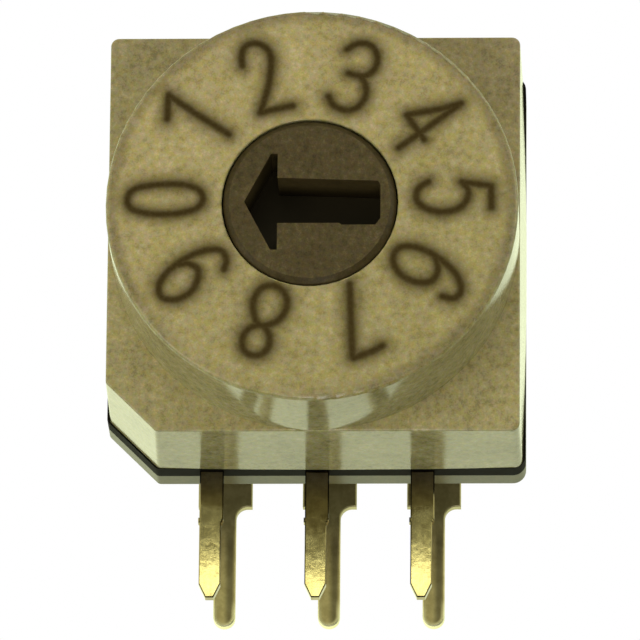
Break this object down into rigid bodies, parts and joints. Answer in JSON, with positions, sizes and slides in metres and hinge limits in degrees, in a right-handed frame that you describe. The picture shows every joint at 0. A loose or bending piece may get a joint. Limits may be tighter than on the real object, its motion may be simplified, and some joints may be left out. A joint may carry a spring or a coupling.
{
  "type": "rotary dip switch",
  "caption": "Small square board-mounted rotary code switch with a round numbered dial, an arrow-slot rotor that clicks from number to number, and downward terminals.",
  "frame": {"origin": "middle of the six-terminal pattern, on the top of the circuit board", "axes": "+X along the terminal rows, to the right as the dial is read; +Y from the dial into the switch; +Z away from the board"},
  "size_m": [0.0102, 0.0081, 0.0133],
  "materials": {
    "housing_plastic": "fine matt dial and front with a speckled grain, polished side walls",
    "rotor_plastic": "matt, speckled",
    "seal_rubber": "smooth",
    "spring_steel": "rolled",
    "contact_metal": "plated",
    "seam_compound": "cured sealing compound",
    "base_plastic": "matt",
    "terminal_metal": "bright plated, with stamped edges"
  },
  "bodies": {
    "switch_body": {"housing": "housing_plastic", "click_spring": "spring_steel", "sealing_band": "seam_compound", "base": "base_plastic", "front_terminal_left": "terminal_metal", "front_terminal_middle": "terminal_metal", "front_terminal_right": "terminal_metal", "rear_terminal_left": "terminal_metal", "rear_terminal_middle": "terminal_metal", "rear_terminal_right": "terminal_metal"},
    "turning_rotor": {"rotor": "rotor_plastic", "rotor_seal_ring": "seal_rubber", "code_disc": "contact_metal"}
  },
  "joints": [
    {"name": "rotor_turn", "type": "hinge", "parent": "switch_body", "child": "turning_rotor", "pos_m": [-0.00002, -0.00435, 0.00506], "axis": [0, 1, 0], "continuous": true, "deforming": ["click_spring"]}
  ]
}
